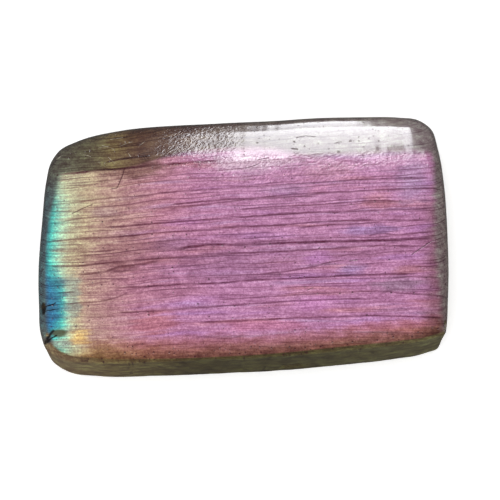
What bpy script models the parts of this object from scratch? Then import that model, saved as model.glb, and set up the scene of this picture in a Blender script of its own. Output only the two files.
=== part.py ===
# A polished slab of labradorite lying on its flat base: a rounded oblong with a broad roll along its far
# edge, narrower rolls at its two ends, and one steep, dull near side that meets the face at an arris.
# Metres, +Z up. The origin is the middle of the base, X runs along the slab and +Y to its far side.
import math

import bmesh
import bpy
import numpy as np
from mathutils import Euler, Matrix, Vector

THICKNESS = 0.0145
HALF_LENGTH, HALF_WIDTH = 0.0330, 0.0210
CROWN = 0.0004  # how far the polished face swells in its middle
FOOT_SHARE = 0.5  # the roll under the rim, as a share of the roll above it

# The outline seen from above, anticlockwise, one row for each point of its shape. A row holds the rim's
# x and y, how far in from the rim the flat face starts along x and y, and the height of the roll there.
# Each side starts at the middle of a corner and ends where the next side starts.
OUTLINE = {
    "right": (
        (0.0320, -0.0159, 0.0006, -0.0007, 0.0008),
        (0.0323, -0.0143, 0.0012, -0.0002, 0.0020),
        (0.0326, -0.0106, 0.0020, 0.0000, 0.0034),
        (0.0330, -0.0035, 0.0028, 0.0000, 0.0045),
        (0.0329, 0.0040, 0.0029, 0.0000, 0.0048),
        (0.0323, 0.0108, 0.0026, 0.0006, 0.0052),
        (0.0317, 0.0153, 0.0023, 0.0028, 0.0060),
    ),
    "far": (
        (0.0307, 0.0189, 0.0017, 0.0057, 0.0068),
        (0.0287, 0.0205, 0.0009, 0.0069, 0.0073),
        (0.0252, 0.0210, 0.0002, 0.0073, 0.0075),
        (0.0200, 0.0211, 0.0000, 0.0074, 0.0075),
        (0.0125, 0.0209, -0.0001, 0.0073, 0.0075),
        (0.0000, 0.0202, -0.0002, 0.0072, 0.0075),
        (-0.0110, 0.0196, -0.0003, 0.0071, 0.0074),
        (-0.0205, 0.0186, -0.0006, 0.0068, 0.0072),
        (-0.0271, 0.0167, -0.0012, 0.0059, 0.0066),
    ),
    "left": (
        (-0.0299, 0.0150, -0.0016, 0.0045, 0.0058),
        (-0.0313, 0.0127, -0.0020, 0.0029, 0.0050),
        (-0.0320, 0.0092, -0.0024, 0.0010, 0.0044),
        (-0.0325, 0.0035, -0.0026, 0.0000, 0.0042),
        (-0.0329, -0.0045, -0.0026, 0.0000, 0.0042),
        (-0.0327, -0.0110, -0.0025, -0.0004, 0.0040),
        (-0.0323, -0.0158, -0.0022, -0.0010, 0.0036),
    ),
    "near": (
        (-0.0312, -0.0185, -0.0017, -0.0016, 0.0030),
        (-0.0287, -0.0201, -0.0010, -0.0017, 0.0022),
        (-0.0235, -0.0208, -0.0003, -0.0014, 0.0013),
        (-0.0140, -0.0207, 0.0000, -0.0009, 0.0008),
        (-0.0040, -0.0203, 0.0000, -0.0007, 0.0007),
        (0.0060, -0.0198, 0.0000, -0.0010, 0.0008),
        (0.0160, -0.0189, 0.0000, -0.0013, 0.0009),
        (0.0250, -0.0179, 0.0000, -0.0012, 0.0009),
        (0.0296, -0.0170, 0.0001, -0.0009, 0.0008),
    ),
}
CURVE_STEPS = 16  # points of the smooth outline between two rows

# A section runs inward from the middle of the face, over the rim and under to the middle of the base.
# These are its stations: each unit is one stretch of it.
FACE_EDGE, RIM_TOP, RIM_FOOT, BASE_EDGE = 1.0, 2.0, 3.0, 4.0

CELLS = (46, 32, 10)  # faces of the cage along X, Y and Z
ROLL_RINGS = 6  # rings of the cage's top that turn over with the roll
TOP_TURN = 0.65  # share of the roll that these rings take; the sides take the rest
FOOT_TURN = 0.40  # share of the foot's roll that the rings of the cage's underside take
CORNER_SHARE = 0.10  # share of half a side that the rings' corners take
SIDE_RINGS = (3, 7, 10)  # rings down the side to the rim, to the foot and to the underside

# Low waves left by grinding, as (height, length along X, length along Y and Z, start of the wave).
WAVES = ((0.00010, 0.031, 0.024, 0.4), (0.00006, 0.013, 0.019, 2.1))

# Open cracks in the face that follow the stone's layers: points as (x, y), the widest half-width last.
CRACKS = (
    ((-0.0300, 0.0100), (-0.0225, 0.0108), (-0.0165, 0.0116), (-0.0108, 0.0121), 0.00020),
    ((-0.0312, 0.0052), (-0.0252, 0.0056), (-0.0184, 0.0066), (-0.0068, 0.0078), 0.00014),
    ((-0.0180, 0.0015), (-0.0032, 0.0030), (0.0120, 0.0036), (0.0290, 0.0044), 0.00014),
    ((0.0000, -0.0015), (0.0103, -0.0013), (0.0192, -0.0009), (0.0300, -0.0004), 0.00018),
    ((-0.0292, -0.0047), (-0.0211, -0.0047), (-0.0135, -0.0036), (-0.0005, -0.0029), 0.00014),
    ((-0.0260, -0.0080), (-0.0144, -0.0083), (-0.0068, -0.0074), (0.0183, -0.0065), 0.00016),
    ((-0.0068, -0.0141), (0.0058, -0.0136), (0.0147, -0.0132), (0.0240, -0.0131), 0.00014),
)
CRACK_STEPS = 10  # pieces of a crack's line
CRACK_TIP = 0.3  # how wide a crack is at its ends, as a share of its middle

# Broken places, as (middle, size, turn): two pits in the left edge, a chip low in the near side and a
# nick where the right end meets the near arris.
PITS = (
    ((-0.0328, -0.0116, 0.0105), (0.0011, 0.0010, 0.0016), (0.0, 0.3, 0.2)),
    ((-0.0309, -0.0160, 0.0134), (0.0010, 0.0019, 0.0011), (0.0, 0.0, -0.5)),
    ((0.0078, -0.0196, 0.0034), (0.0038, 0.0011, 0.0022), (0.1, 0.15, 0.07)),
    ((0.0322, -0.0153, 0.0137), (0.0012, 0.0016, 0.0014), (0.0, 0.4, 0.2)),
)
PIT_ROUGHNESS = 0.12  # how uneven a pit is, as a share of its size
PIT_SEED = 7

STONE_COLOUR = (0.33, 0.20, 0.26, 1.0)
STONE_ROUGHNESS = 0.18


def clear_scene():
    for old in list(bpy.data.objects):
        bpy.data.objects.remove(old, do_unlink=True)


def add_collection(name, helper=False):
    collection = bpy.data.collections.new(name)
    bpy.context.scene.collection.children.link(collection)
    collection.hide_render = helper
    return collection


def stone_material():
    material = bpy.data.materials.new("labradorite")
    material.use_nodes = True
    shader = material.node_tree.nodes["Principled BSDF"]
    shader.inputs["Base Color"].default_value = STONE_COLOUR
    shader.inputs["Roughness"].default_value = STONE_ROUGHNESS
    shader.inputs["Metallic"].default_value = 0.0
    material.diffuse_color = STONE_COLOUR
    return material


def smooth_sides():
    """The outline as one smooth closed curve, cut into its sides: for each, the rows and how far along
    the side each of them lies, from 0 to 1."""
    rows = np.array([row for side in OUTLINE.values() for row in side])
    count = len(rows)
    gaps = np.linalg.norm(np.roll(rows, -1, axis=0)[:, :2] - rows[:, :2], axis=1)
    slopes = (np.roll(rows, -1, axis=0) - rows) / gaps[:, None]
    before, after = np.roll(gaps, 1)[:, None], gaps[:, None]
    tangents = (np.roll(slopes, 1, axis=0) * after + slopes * before) / (before + after)
    sides, first = [], 0
    for side in OUTLINE.values():
        points = []
        for i in range(first, first + len(side)):
            j = (i + 1) % count
            for t in np.arange(CURVE_STEPS) / CURVE_STEPS:
                points.append(
                    (1 + 2 * t) * (1 - t) ** 2 * rows[i]
                    + t * (1 - t) ** 2 * gaps[i] * tangents[i]
                    + t**2 * (3 - 2 * t) * rows[j]
                    + t**2 * (t - 1) * gaps[i] * tangents[j]
                )
        first += len(side)
        points.append(rows[first % count])
        points = np.array(points)
        steps = np.linalg.norm(np.diff(points[:, :2], axis=0), axis=1)
        lengths = np.concatenate([[0.0], np.cumsum(steps)])
        sides.append((points, lengths / lengths[-1]))
    return dict(zip(OUTLINE, sides))


def row_at(sides, side, along):
    """The outline's row on a side, at -1 to 1 from its left or near end to its right or far end."""
    points, shares = sides[side]
    share = (1 + along) / 2 if side in ("right", "near") else (1 - along) / 2
    return np.array([np.interp(share, shares, column) for column in points.T])


def edge_of_flat(row, station):
    """Where the flat face or the flat base starts."""
    inset = row[2:4] if station == FACE_EDGE else FOOT_SHARE * row[2:4]
    return row[:2] - inset


def flat_point(sides, s, t, station):
    """A point of the flat face or base, blended from the four edges round it."""
    far, near = (edge_of_flat(row_at(sides, name, s), station) for name in ("far", "near"))
    right, left = (edge_of_flat(row_at(sides, name, t), station) for name in ("right", "left"))
    corners = {
        (x, y): edge_of_flat(row_at(sides, "far" if y > 0 else "near", x), station)
        for x in (-1, 1)
        for y in (-1, 1)
    }
    p, q = (1 + s) / 2, (1 + t) / 2
    low = (1 - p) * corners[-1, -1] + p * corners[1, -1]
    high = (1 - p) * corners[-1, 1] + p * corners[1, 1]
    return (1 - q) * near + q * far + (1 - p) * left + p * right - (1 - q) * low - q * high


def rolled_point(row, station):
    """A point of the section between the face's edge and the base's edge."""
    rim, inset, height = row[:2], row[2:4], row[4]
    if station <= RIM_TOP:
        turn = (station - FACE_EDGE) * math.pi / 2
        return rim - inset * (1 - math.sin(turn)), THICKNESS - height * (1 - math.cos(turn))
    foot = FOOT_SHARE * height
    if station <= RIM_FOOT:
        return rim, THICKNESS - height - (station - RIM_TOP) * (THICKNESS - height - foot)
    turn = (station - RIM_FOOT) * math.pi / 2
    return rim - FOOT_SHARE * inset * (1 - math.cos(turn)), foot * (1 - math.sin(turn))


def ring_of(value, cells):
    """0 to 1 across the flat, then 1 to 2 over the rings that turn over."""
    flat_cells = cells / 2 - ROLL_RINGS
    cell = abs(value) * cells / 2
    return cell / flat_cells if cell <= flat_cells else 1 + (cell - flat_cells) / ROLL_RINGS


def along_side(across, ring):
    """How far along a side a point lies, from its own ring and from the ring of the edge it is on."""
    corner = CORNER_SHARE * (ring - 1)
    if across <= 1:
        return across * (1 - corner)
    return 1 - corner + corner * (across - 1) / (ring - 1)


def place(sides, a, b, c):
    """Where a point of the cage goes. a, b and c are its places in the cage, from -1 to 1."""
    ring_x, ring_y = ring_of(a, CELLS[0]), ring_of(b, CELLS[1])
    ring = max(ring_x, ring_y)
    top = c > 0
    if ring <= 1:
        s, t = math.copysign(ring_x, a), math.copysign(ring_y, b)
        x, y = flat_point(sides, s, t, FACE_EDGE if top else BASE_EDGE)
        return x, y, THICKNESS if top else 0.0
    if ring_y >= ring_x:
        side, along = "far" if b > 0 else "near", math.copysign(along_side(ring_x, ring), a)
    else:
        side, along = "right" if a > 0 else "left", math.copysign(along_side(ring_y, ring), b)
    if abs(c) < 1:
        step = (1 - c) / 2 * CELLS[2]
        stops = (FACE_EDGE + TOP_TURN, RIM_TOP, RIM_FOOT, BASE_EDGE - FOOT_TURN)
        station = float(np.interp(step, (0, *SIDE_RINGS), stops))
    elif top:
        station = FACE_EDGE + TOP_TURN * (ring - 1)
    else:
        station = BASE_EDGE - FOOT_TURN * (ring - 1)
    point, z = rolled_point(row_at(sides, side, along), station)
    return point[0], point[1], z


def crown_at(x, y):
    """How far the face stands up at a point because of its crown."""
    across = max(0.0, 1 - (x / HALF_LENGTH) ** 2) * max(0.0, 1 - (y / HALF_WIDTH) ** 2)
    return CROWN * across


def wave_at(x, y, z):
    """How far the ground sides swell at a point. The face and the base stay flat."""
    height = 0.0
    for size, long_x, long_y, start in WAVES:
        wave_x = math.sin(2 * math.pi * x / long_x + start)
        wave_y = math.cos(2 * math.pi * (y + z) / long_y + start)
        height += size * wave_x * wave_y
    return height * math.sin(math.pi * min(max(z / THICKNESS, 0.0), 1.0))


def slab(collection, material):
    sides = smooth_sides()
    cage = bmesh.new()
    bmesh.ops.create_cube(cage, size=2)
    for axis, cells in enumerate(CELLS):
        along = [
            edge
            for edge in cage.edges
            if abs(edge.verts[0].co[axis] - edge.verts[1].co[axis]) > 1.0
        ]
        bmesh.ops.subdivide_edges(cage, edges=along, cuts=cells - 1, use_grid_fill=True)
    for vert in cage.verts:
        x, y, z = place(sides, *(round(value, 5) for value in vert.co))
        swell = 1 + wave_at(x, y, z) / max(math.hypot(x, y), THICKNESS)
        vert.co = (x * swell, y * swell, z * (1 + crown_at(x, y) / THICKNESS))
    low, high = (Vector(f(v.co[k] for v in cage.verts) for k in range(3)) for f in (min, max))
    middle = (low + high) / 2
    bmesh.ops.translate(cage, verts=cage.verts, vec=(-middle.x, -middle.y, -low.z))
    bmesh.ops.recalc_face_normals(cage, faces=cage.faces)
    mesh = bpy.data.meshes.new("labradorite_stone")
    cage.to_mesh(mesh)
    cage.free()
    mesh.materials.append(material)
    mesh.shade_smooth()
    stone = bpy.data.objects.new("labradorite_stone", mesh)
    collection.objects.link(stone)
    return stone


def hide_cutter(cutter):
    cutter.hide_render = True
    cutter.display_type = "WIRE"


def crack_cutter(name, points, half_width, collection):
    """A slender four-sided blade that lies along the face, widest in its middle."""
    corners = np.array(points)
    lengths = np.concatenate([[0.0], np.cumsum(np.linalg.norm(np.diff(corners, axis=0), axis=1))])
    curve = bpy.data.curves.new(name, "CURVE")
    curve.dimensions = "3D"
    curve.bevel_depth = half_width
    curve.bevel_resolution = 0
    curve.use_fill_caps = True
    spline = curve.splines.new("POLY")
    spline.points.add(CRACK_STEPS)
    for i, point in enumerate(spline.points):
        share = i / CRACK_STEPS
        x, y = (np.interp(share * lengths[-1], lengths, corners[:, k]) for k in (0, 1))
        point.co = (x, y, THICKNESS + crown_at(x, y), 1.0)
        point.radius = CRACK_TIP + (1 - CRACK_TIP) * math.sin(math.pi * share)
    swept = bpy.data.objects.new(name, curve)
    collection.objects.link(swept)
    bpy.context.view_layer.update()
    graph = bpy.context.evaluated_depsgraph_get()
    mesh = bpy.data.meshes.new_from_object(swept.evaluated_get(graph))
    bpy.data.objects.remove(swept, do_unlink=True)
    blade = bmesh.new()
    blade.from_mesh(mesh)
    bmesh.ops.remove_doubles(blade, verts=blade.verts, dist=1e-6)
    bmesh.ops.recalc_face_normals(blade, faces=blade.faces)
    blade.to_mesh(mesh)
    blade.free()
    cutter = bpy.data.objects.new(name, mesh)
    collection.objects.link(cutter)
    hide_cutter(cutter)
    return cutter


def pit_cutter(name, middle, size, turn, chance, collection):
    """A small uneven lump, whose form is left in the stone as a pit."""
    lump = bmesh.new()
    bmesh.ops.create_icosphere(lump, subdivisions=2, radius=0.5)
    for vert in lump.verts:
        vert.co *= 1 + PIT_ROUGHNESS * chance.uniform(-1, 1)
    bmesh.ops.transform(lump, matrix=Matrix.LocRotScale(None, Euler(turn), Vector(size)), verts=lump.verts)
    mesh = bpy.data.meshes.new(name)
    lump.to_mesh(mesh)
    lump.free()
    cutter = bpy.data.objects.new(name, mesh)
    cutter.location = middle
    collection.objects.link(cutter)
    hide_cutter(cutter)
    return cutter


def cut(stone, cutters):
    for cutter in cutters:
        modifier = stone.modifiers.new(cutter.name, "BOOLEAN")
        modifier.operation = "DIFFERENCE"
        modifier.solver = "EXACT"
        modifier.object = cutter


def main():
    clear_scene()
    stone_collection = add_collection("labradorite_slab")
    cutter_collection = add_collection("cutters", helper=True)
    stone = slab(stone_collection, stone_material())
    chance = np.random.default_rng(PIT_SEED)
    cutters = [
        crack_cutter(f"crack_{i}", points, half_width, cutter_collection)
        for i, (*points, half_width) in enumerate(CRACKS, 1)
    ]
    cutters += [
        pit_cutter(f"pit_{i}", middle, size, turn, chance, cutter_collection)
        for i, (middle, size, turn) in enumerate(PITS, 1)
    ]
    cut(stone, cutters)


main()
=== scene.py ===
# Dresses the labradorite slab: its fine surface, its flash, a pale floor and studio light.
import math

import bpy
import numpy as np
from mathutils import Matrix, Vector, noise


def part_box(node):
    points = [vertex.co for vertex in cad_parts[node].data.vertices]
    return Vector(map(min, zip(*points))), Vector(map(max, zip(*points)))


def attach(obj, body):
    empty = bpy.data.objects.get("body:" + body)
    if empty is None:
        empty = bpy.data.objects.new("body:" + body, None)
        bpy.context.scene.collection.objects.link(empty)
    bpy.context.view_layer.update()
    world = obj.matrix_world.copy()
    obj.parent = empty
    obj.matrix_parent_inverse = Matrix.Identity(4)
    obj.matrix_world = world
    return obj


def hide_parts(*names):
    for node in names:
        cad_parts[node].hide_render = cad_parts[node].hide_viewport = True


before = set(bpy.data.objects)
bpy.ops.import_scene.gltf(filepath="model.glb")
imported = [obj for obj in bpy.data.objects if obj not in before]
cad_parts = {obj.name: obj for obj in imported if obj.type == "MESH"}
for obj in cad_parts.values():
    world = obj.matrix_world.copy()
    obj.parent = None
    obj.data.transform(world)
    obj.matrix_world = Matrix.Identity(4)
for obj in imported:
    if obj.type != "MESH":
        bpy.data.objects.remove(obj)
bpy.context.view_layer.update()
low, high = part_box("labradorite_stone")
print("stage: frame loaded, box", low, high)

mm = 0.001


def paint(red, green, blue):  # a colour as a screen shows it, 0 to 255, made linear
    share = [value / 255 for value in (red, green, blue)]
    linear = [v / 12.92 if v <= 0.04045 else ((v + 0.055) / 1.055) ** 2.4 for v in share]
    return (*linear, 1.0)


# The slab's form: the same rows as the solid it covers, so that nothing has to be fitted.
slab = {
    "thickness": 0.0145,
    "halfLength": 0.0330,
    "halfWidth": 0.0210,
    "crown": 0.0004,  # how far the polished face swells in its middle
    "footShare": 0.5,  # the roll under the rim, as a share of the one above it
    "curveSteps": 24,
    "cellsAlong": 300,  # cells of the top across X
    "cellsAcross": 190,  # and across Y
    "rollRings": 32,  # rings of the top that turn over
    "topTurn": 0.65,  # share of the roll they take
    "cornerShare": 0.10,  # share of half a side that the rings' corners take
    "sideStations": ((10, 2.0), (26, 3.0), (38, 4.0)),  # rings down the side to each station
    "waves": (  # height, length along X, length along Y and Z, start
        (0.00010, 0.031, 0.024, 0.4),
        (0.00006, 0.013, 0.019, 2.1),
    ),
}
outline = {  # rim x, rim y, how far in the flat face starts along x and y, height of the roll
    "right": (
        (0.0320, -0.0159, 0.0006, -0.0007, 0.0008),
        (0.0323, -0.0143, 0.0012, -0.0002, 0.0020),
        (0.0326, -0.0106, 0.0020, 0.0000, 0.0034),
        (0.0330, -0.0035, 0.0028, 0.0000, 0.0045),
        (0.0329, 0.0040, 0.0029, 0.0000, 0.0048),
        (0.0323, 0.0108, 0.0026, 0.0006, 0.0052),
        (0.0317, 0.0153, 0.0023, 0.0028, 0.0060),
    ),
    "far": (
        (0.0307, 0.0189, 0.0017, 0.0057, 0.0068),
        (0.0287, 0.0205, 0.0009, 0.0069, 0.0073),
        (0.0252, 0.0210, 0.0002, 0.0073, 0.0075),
        (0.0200, 0.0211, 0.0000, 0.0074, 0.0075),
        (0.0125, 0.0209, -0.0001, 0.0073, 0.0075),
        (0.0000, 0.0202, -0.0002, 0.0072, 0.0075),
        (-0.0110, 0.0196, -0.0003, 0.0071, 0.0074),
        (-0.0205, 0.0186, -0.0006, 0.0068, 0.0072),
        (-0.0271, 0.0167, -0.0012, 0.0059, 0.0066),
    ),
    "left": (
        (-0.0299, 0.0150, -0.0016, 0.0045, 0.0058),
        (-0.0313, 0.0127, -0.0020, 0.0029, 0.0050),
        (-0.0320, 0.0092, -0.0024, 0.0010, 0.0044),
        (-0.0325, 0.0035, -0.0026, 0.0000, 0.0042),
        (-0.0329, -0.0045, -0.0026, 0.0000, 0.0042),
        (-0.0327, -0.0110, -0.0025, -0.0004, 0.0040),
        (-0.0323, -0.0158, -0.0022, -0.0010, 0.0036),
    ),
    "near": (
        (-0.0312, -0.0185, -0.0017, -0.0016, 0.0030),
        (-0.0287, -0.0201, -0.0010, -0.0017, 0.0022),
        (-0.0235, -0.0208, -0.0003, -0.0014, 0.0013),
        (-0.0140, -0.0207, 0.0000, -0.0009, 0.0008),
        (-0.0040, -0.0203, 0.0000, -0.0007, 0.0007),
        (0.0060, -0.0198, 0.0000, -0.0010, 0.0008),
        (0.0160, -0.0189, 0.0000, -0.0013, 0.0009),
        (0.0250, -0.0179, 0.0000, -0.0012, 0.0009),
        (0.0296, -0.0170, 0.0001, -0.0009, 0.0008),
    ),
}

# The layers' strong dark lines on the face, in millimetres: (x, y) points, half-width, darkness.
layerLines = (
    (((-29.7, 9.5), (-26.1, 9.9), (-22.9, 10.3), (-19.7, 10.5), (-13.4, 11.1), (-7.0, 11.6),
      (-4.0, 11.8)), 0.17, 1.00),
    (((-29.7, 11.1), (-26.9, 11.4), (-22.5, 11.8)), 0.11, 0.65),
    (((-22.3, 11.5), (-20.2, 12.0), (-18.1, 12.3), (-14.9, 12.6)), 0.15, 0.95),
    (((-27.7, 13.4), (-24.5, 13.6), (-22.1, 13.9), (-19.4, 14.3), (-16.5, 14.6)), 0.12, 0.75),
    (((-16.5, 13.0), (-14.1, 13.4), (-10.8, 13.8)), 0.13, 0.85),
    (((-29.7, 7.3), (-26.9, 7.4), (-23.7, 8.0)), 0.10, 0.50),
    (((-30.7, 4.6), (-26.9, 4.9), (-22.9, 5.5), (-16.5, 6.0), (-11.8, 6.6), (-7.0, 6.9),
      (-1.1, 7.3)), 0.13, 0.80),
    (((-1.5, 7.4), (2.9, 7.6), (8.9, 8.0), (13.7, 8.3), (19.3, 8.7), (24.2, 8.9),
      (29.6, 9.0)), 0.13, 0.80),
    (((-31.0, 1.5), (-29.3, 1.7), (-25.3, 2.4), (-21.0, 2.6)), 0.12, 0.65),
    (((-11.8, 3.9), (-7.0, 4.4), (-1.7, 5.1), (4.2, 5.6), (7.3, 5.8), (11.3, 5.9)), 0.13, 0.75),
    (((-11.4, 4.5), (-3.5, 5.3), (2.9, 5.7), (8.9, 6.3), (15.3, 6.6), (21.7, 7.0),
      (26.1, 7.2), (32.0, 7.3)), 0.13, 0.85),
    (((-0.6, 3.7), (5.7, 4.2), (11.8, 4.5), (16.1, 4.9), (21.3, 5.2), (24.1, 5.2)), 0.12, 0.80),
    (((-22.1, 0.8), (-18.9, 1.0), (-13.4, 1.5), (-9.4, 1.8), (-3.5, 2.2), (2.9, 2.7),
      (8.9, 3.1), (16.1, 3.3)), 0.14, 0.90),
    (((15.5, 3.3), (18.5, 3.5), (24.1, 3.7), (29.6, 4.0)), 0.13, 0.80),
    (((-31.2, -1.5), (-26.1, -1.0), (-18.9, -0.6), (-12.6, 0.0), (-7.0, 0.3), (-1.7, 0.8),
      (2.9, 1.0), (8.9, 1.4)), 0.14, 0.85),
    (((8.5, 1.4), (13.7, 1.8), (21.7, 2.0), (25.6, 2.0), (29.6, 2.1)), 0.14, 0.85),
    (((8.9, 0.8), (13.7, 1.2), (16.1, 1.3), (21.7, 1.7)), 0.12, 0.80),
    (((19.8, -0.6), (21.7, -0.2), (24.8, -0.4), (26.4, -0.2), (29.6, 0.1)), 0.12, 0.75),
    (((-10.6, -2.8), (-7.0, -2.2), (-0.1, -2.0), (5.7, -1.8), (10.5, -1.6), (13.7, -1.5),
      (21.7, -1.3), (29.6, -0.9)), 0.20, 1.00),
    (((-31.3, -5.4), (-27.7, -5.5), (-22.9, -5.1), (-16.5, -4.5), (-10.8, -4.1), (-7.0, -3.8),
      (0.0, -3.4), (7.3, -3.1)), 0.14, 0.90),
    (((7.0, -3.1), (11.3, -2.8), (16.1, -2.5), (20.9, -2.2), (24.1, -2.2), (29.6, -2.3)),
      0.14, 0.85),
    (((-26.1, -6.8), (-22.1, -6.4), (-20.0, -5.7), (-17.3, -5.3), (-13.7, -4.7)), 0.20, 0.80),
    (((-16.5, -6.2), (-11.8, -5.8), (-7.0, -5.3), (-3.0, -4.7)), 0.11, 0.60),
    (((2.6, -6.8), (7.3, -6.3), (10.5, -5.7), (13.7, -4.9), (15.5, -4.6)), 0.13, 0.80),
    (((14.9, -4.0), (17.0, -3.6), (19.5, -3.4)), 0.13, 0.75),
    (((-26.1, -8.5), (-23.7, -8.3), (-21.3, -8.0)), 0.11, 0.65),
    (((-29.5, -9.8), (-26.9, -9.6)), 0.14, 0.80),
    (((-30.9, -11.8), (-26.1, -11.4), (-22.9, -11.2), (-20.0, -10.5), (-18.5, -9.8)), 0.12, 0.75),
    (((-20.0, -9.0), (-13.4, -8.7), (-9.4, -8.4), (-4.6, -8.3), (-0.1, -7.9), (5.7, -7.6),
      (13.7, -7.2)), 0.14, 0.90),
    (((13.3, -7.2), (18.5, -6.9), (21.7, -6.8), (27.2, -6.7)), 0.14, 0.90),
    (((24.1, -7.3), (27.2, -7.2), (31.2, -7.3)), 0.11, 0.60),
    (((27.2, -5.6), (29.6, -5.5), (31.2, -5.4)), 0.12, 0.75),
    (((-3.5, -10.9), (2.9, -10.5), (8.9, -10.1), (16.1, -9.7), (21.7, -9.6), (27.2, -10.0),
      (32.0, -10.3)), 0.12, 0.70),
    (((-19.7, -13.0), (-13.4, -12.7), (-7.0, -12.2), (-1.4, -11.8), (5.7, -11.3), (13.7, -10.9),
      (18.8, -10.7)), 0.13, 0.80),
    (((-6.5, -14.5), (-0.1, -14.3), (5.7, -14.0), (13.7, -13.7), (18.8, -13.5)), 0.13, 0.85),
    (((18.5, -13.4), (21.7, -13.5), (26.4, -13.6), (31.2, -13.8)), 0.13, 0.90),
    (((-7.8, -17.0), (-5.4, -16.9), (-3.5, -17.1), (-0.6, -16.9)), 0.12, 0.70),
    (((15.8, -12.7), (21.7, -12.5), (26.4, -12.4)), 0.10, 0.50),
    (((10.8, -16.2), (16.1, -16.3), (21.7, -16.2), (28.8, -16.3)), 0.10, 0.50),
)

# Small dark marks across the layers or in the polish, in millimetres: ends and half-width.
marks = (
    ((-19.2, 10.4), (-19.5, 9.2), 0.09),
    ((-19.5, 9.2), (-20.3, 7.3), 0.11),
    ((-20.3, 7.3), (-21.2, 7.2), 0.09),
    ((26.7, -3.6), (29.2, -1.8), 0.10),
    ((29.2, -1.8), (31.6, -0.7), 0.07),
    ((8.5, 15.8), (10.0, 16.1), 0.08),
    ((10.0, 16.1), (11.6, 15.9), 0.07),
    ((7.7, 13.8), (8.6, 13.7), 0.13),
    ((14.6, 14.7), (15.7, 15.0), 0.08),
    ((2.0, 11.9), (4.0, 12.3), 0.07),
    ((0.2, 10.5), (2.4, 11.2), 0.07),
    ((-27.4, 3.1), (-26.1, 3.8), 0.10),
    ((-26.1, 3.8), (-24.2, 4.6), 0.08),
    ((-25.6, -20.7), (-24.6, -20.6), 0.16),
    ((16.8, -4.6), (18.0, -4.5), 0.09),
    ((10.0, -9.4), (11.0, -9.0), 0.08),
)
paleMarks = (  # light scratches in the dull far corner
    ((-22.9, 14.7), (-20.9, 13.8), 0.06),
    ((-21.6, 15.8), (-19.6, 16.1), 0.06),
    ((-21.8, 12.4), (-20.7, 11.4), 0.06),
    ((-18.8, 13.4), (-18.2, 12.5), 0.07),
    ((-20.0, 14.4), (-18.0, 15.2), 0.05),
    ((-23.4, 14.2), (-21.4, 14.5), 0.05),
    ((-17.0, 14.2), (-16.0, 15.2), 0.05),
    ((-30.2, 12.4), (-29.4, 12.9), 0.10),
    ((-26.4, 13.2), (-24.6, 12.6), 0.05),
)


# Each side as points of one closed smooth curve, and how far along the side each point lies.
def smoothOutline():
    rows = np.array([row for side in outline.values() for row in side])
    count = len(rows)
    nextRows = np.roll(rows, -1, axis=0)
    gaps = np.linalg.norm(nextRows[:, :2] - rows[:, :2], axis=1)
    slopes = (nextRows - rows) / gaps[:, None]
    before, after = np.roll(gaps, 1)[:, None], gaps[:, None]
    tangents = (np.roll(slopes, 1, axis=0) * after + slopes * before) / (before + after)
    sides, first = {}, 0
    for name, side in outline.items():
        points = []
        for i in range(first, first + len(side)):
            j = (i + 1) % count
            for t in np.arange(slab["curveSteps"]) / slab["curveSteps"]:
                points.append(
                    (1 + 2 * t) * (1 - t) ** 2 * rows[i]
                    + t * (1 - t) ** 2 * gaps[i] * tangents[i]
                    + t**2 * (3 - 2 * t) * rows[j]
                    + t**2 * (t - 1) * gaps[i] * tangents[j]
                )
        first += len(side)
        points.append(rows[first % count])
        points = np.array(points)
        steps = np.linalg.norm(np.diff(points[:, :2], axis=0), axis=1)
        lengths = np.concatenate([[0.0], np.cumsum(steps)])
        sides[name] = (points, lengths / lengths[-1])
    return sides


sides = smoothOutline()


def rowsAt(name, along):  # along runs from -1 to 1, left to right or near to far
    points, shares = sides[name]
    share = (1 + along) / 2 if name in ("right", "near") else (1 - along) / 2
    return np.stack([np.interp(share, shares, column) for column in points.T], axis=-1)


def flatPoints(s, t):  # points of the face, blended from the four edges round it
    def edge(name, along):
        rows = rowsAt(name, along)
        return rows[..., :2] - rows[..., 2:4]

    one = np.ones_like(s)
    p, q = ((1 + s) / 2)[..., None], ((1 + t) / 2)[..., None]
    lowEdge = (1 - p) * edge("near", -one) + p * edge("near", one)
    highEdge = (1 - p) * edge("far", -one) + p * edge("far", one)
    across = (1 - q) * edge("near", s) + q * edge("far", s)
    along = (1 - p) * edge("left", t) + p * edge("right", t)
    return across + along - (1 - q) * lowEdge - q * highEdge


# Points of the section: station 1 is the face's edge, 2 and 3 the rim's top and foot, 4 the base's edge.
def rolledPoints(rows, station):
    rim, inset, height = rows[..., :2], rows[..., 2:4], rows[..., 4]
    foot, share, thickness = slab["footShare"] * height, slab["footShare"], slab["thickness"]
    topTurn = np.clip(station - 1, 0, 1) * math.pi / 2
    footTurn = np.clip(station - 3, 0, 1) * math.pi / 2
    inward = inset * (1 - np.sin(topTurn) + share * (1 - np.cos(footTurn)))[..., None]
    wall = np.clip(station - 2, 0, 1) * (thickness - height - foot)
    z = thickness - height * (1 - np.cos(topTurn)) - wall - foot * np.sin(footTurn)
    return rim - inward, z


def alongSide(across, ring):  # how far along a side a point of a ring lies, its corners drawn in
    corner = slab["cornerShare"] * (ring - 1)
    past = np.divide(across - 1, ring - 1, out=np.zeros_like(ring), where=ring > 1.0001)
    return np.where(across <= 1, across * (1 - corner), 1 - corner + corner * past)


def gridValues(cells):  # -2 to 2 across the cage: within 1 lies on the flat, beyond it on the rings
    flat = cells / 2 - slab["rollRings"]
    cell = np.abs(np.arange(cells + 1) - cells / 2)
    ring = np.where(cell <= flat, cell / flat, 1 + (cell - flat) / slab["rollRings"])
    return ring * np.sign(np.arange(cells + 1) - cells / 2)


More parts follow.
